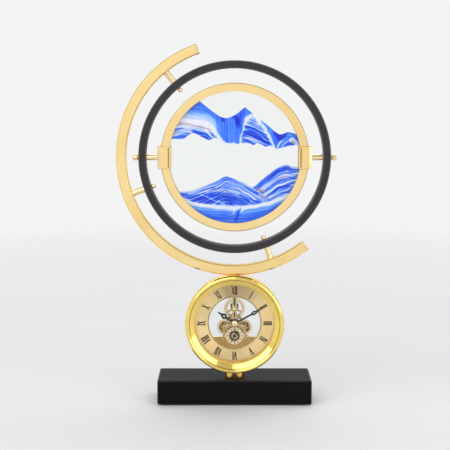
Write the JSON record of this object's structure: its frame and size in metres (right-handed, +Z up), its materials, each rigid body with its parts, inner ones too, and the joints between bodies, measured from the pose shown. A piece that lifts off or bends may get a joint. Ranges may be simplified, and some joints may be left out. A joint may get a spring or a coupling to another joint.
{
  "type": "sand art table clock",
  "caption": "Table clock with an open-worked dial on a black base, carrying an open gold arc, a black ring and a round sand picture that flips over on side pivots.",
  "frame": {"origin": "centre of the base's underside, on the surface that the clock stands on", "axes": "+Z up, the dial faces -Y, +X to the right as seen from the front"},
  "size_m": [0.2307, 0.06, 0.3806],
  "materials": {
    "satin_gold": "satin, fine brushed",
    "polished_gold": "mirror polished",
    "champagne_dial": "satin with a circular sheen",
    "movement_brass": "polished",
    "screw_steel": "zinc plated",
    "black_anodised": "satin black",
    "black_paint": "satin black",
    "hand_black": "gloss black",
    "black_plastic": "moulded",
    "rubber_pad": "matt",
    "clear_glass": "clear",
    "blue_sand": "fine loose grains, blue and white",
    "cream_paint": "satin",
    "cell_sleeve": "plain foil sleeve"
  },
  "bodies": {
    "stand": {"base_block": "black_paint", "base_pad": "rubber_pad", "base_screw_left": "screw_steel", "base_screw_right": "screw_steel", "spacer_peg_left": "movement_brass", "spacer_peg_right": "movement_brass", "clock_case": "polished_gold", "bezel": "polished_gold", "front_glass": "clear_glass", "dial_spacer": "polished_gold", "dial_ring": "champagne_dial", "seconds_dial": "cream_paint", "front_plate": "movement_brass", "rear_plate": "movement_brass", "pillar_left": "movement_brass", "pillar_right": "movement_brass", "plate_screw_left": "screw_steel", "plate_screw_right": "screw_steel", "movement_housing": "black_plastic", "battery": "cell_sleeve", "c_arc": "satin_gold", "arc_cap_upper": "satin_gold", "arc_cap_lower": "satin_gold", "arc_screw_left": "screw_steel", "arc_screw_right": "screw_steel", "outer_ring": "black_anodised", "standoff_upper": "satin_gold", "standoff_left": "satin_gold", "standoff_lower": "satin_gold", "standoff_screw_upper": "satin_gold", "standoff_screw_left": "satin_gold", "standoff_screw_lower": "satin_gold", "pivot_bush_left": "movement_brass", "pivot_bush_right": "movement_brass"},
    "sand_picture": {"frame_front": "satin_gold", "frame_rear": "satin_gold", "front_pane": "clear_glass", "rear_pane": "clear_glass", "pane_seal": "rubber_pad", "sand_upper": "blue_sand", "sand_lower": "blue_sand", "frame_clip_left": "satin_gold", "frame_clip_right": "satin_gold", "pivot_pin_left": "satin_gold", "pivot_pin_right": "satin_gold", "pivot_knob_left": "satin_gold", "pivot_knob_right": "satin_gold"},
    "minute_train": {"minute_hand": "hand_black", "centre_arbor": "movement_brass", "centre_cap": "satin_gold"},
    "hour_train": {"hour_hand": "hand_black", "hour_wheel": "movement_brass"},
    "seconds_train": {"seconds_hand": "hand_black"},
    "motion_wheel": {"left_wheel": "movement_brass"},
    "relay_wheel": {"right_wheel": "movement_brass"},
    "drive": {"drive_pinion": "movement_brass"},
    "setting": {"setting_wheel": "movement_brass", "setting_knob": "black_plastic"},
    "rear_cover": {"rear_bezel": "polished_gold", "rear_glass": "clear_glass"}
  },
  "joints": [
    {"name": "picture_turn", "type": "hinge", "parent": "stand", "child": "sand_picture", "pos_m": [0, -0.0145, 0.263], "axis": [1, 0, 0], "continuous": true},
    {"name": "minute_spin", "type": "hinge", "parent": "stand", "child": "minute_train", "pos_m": [0, -0.0165, 0.0875], "axis": [0, 1, 0], "continuous": true},
    {"name": "hour_spin", "type": "hinge", "parent": "stand", "child": "hour_train", "pos_m": [0, -0.0165, 0.0875], "axis": [0, 1, 0], "continuous": true},
    {"name": "seconds_spin", "type": "hinge", "parent": "stand", "child": "seconds_train", "pos_m": [0, -0.0165, 0.0735], "axis": [0, 1, 0], "continuous": true},
    {"name": "motion_wheel_spin", "type": "hinge", "parent": "stand", "child": "motion_wheel", "pos_m": [-0.01, -0.0165, 0.08223], "axis": [0, 1, 0], "continuous": true},
    {"name": "relay_wheel_spin", "type": "hinge", "parent": "stand", "child": "relay_wheel", "pos_m": [0.01, -0.0165, 0.08223], "axis": [0, 1, 0], "continuous": true},
    {"name": "drive_pinion_spin", "type": "hinge", "parent": "stand", "child": "drive", "pos_m": [0.013, -0.0165, 0.0713], "axis": [0, 1, 0], "continuous": true},
    {"name": "setting_spin", "type": "hinge", "parent": "stand", "child": "setting", "pos_m": [0, -0.0165, 0.1025], "axis": [0, 1, 0], "continuous": true},
    {"name": "rear_cover_pull", "type": "slide", "parent": "stand", "child": "rear_cover", "axis": [0, 1, 0], "range_m": [0, 0.032]}
  ],
  "couplings": [
    {"joint": "hour_spin", "follows": "minute_spin", "ratio": 0.083333},
    {"joint": "seconds_spin", "follows": "minute_spin", "ratio": 60},
    {"joint": "motion_wheel_spin", "follows": "minute_spin", "ratio": -0.33333},
    {"joint": "relay_wheel_spin", "follows": "minute_spin", "ratio": -0.33333},
    {"joint": "drive_pinion_spin", "follows": "minute_spin", "ratio": 1},
    {"joint": "setting_spin", "follows": "minute_spin", "ratio": -0.36364}
  ]
}
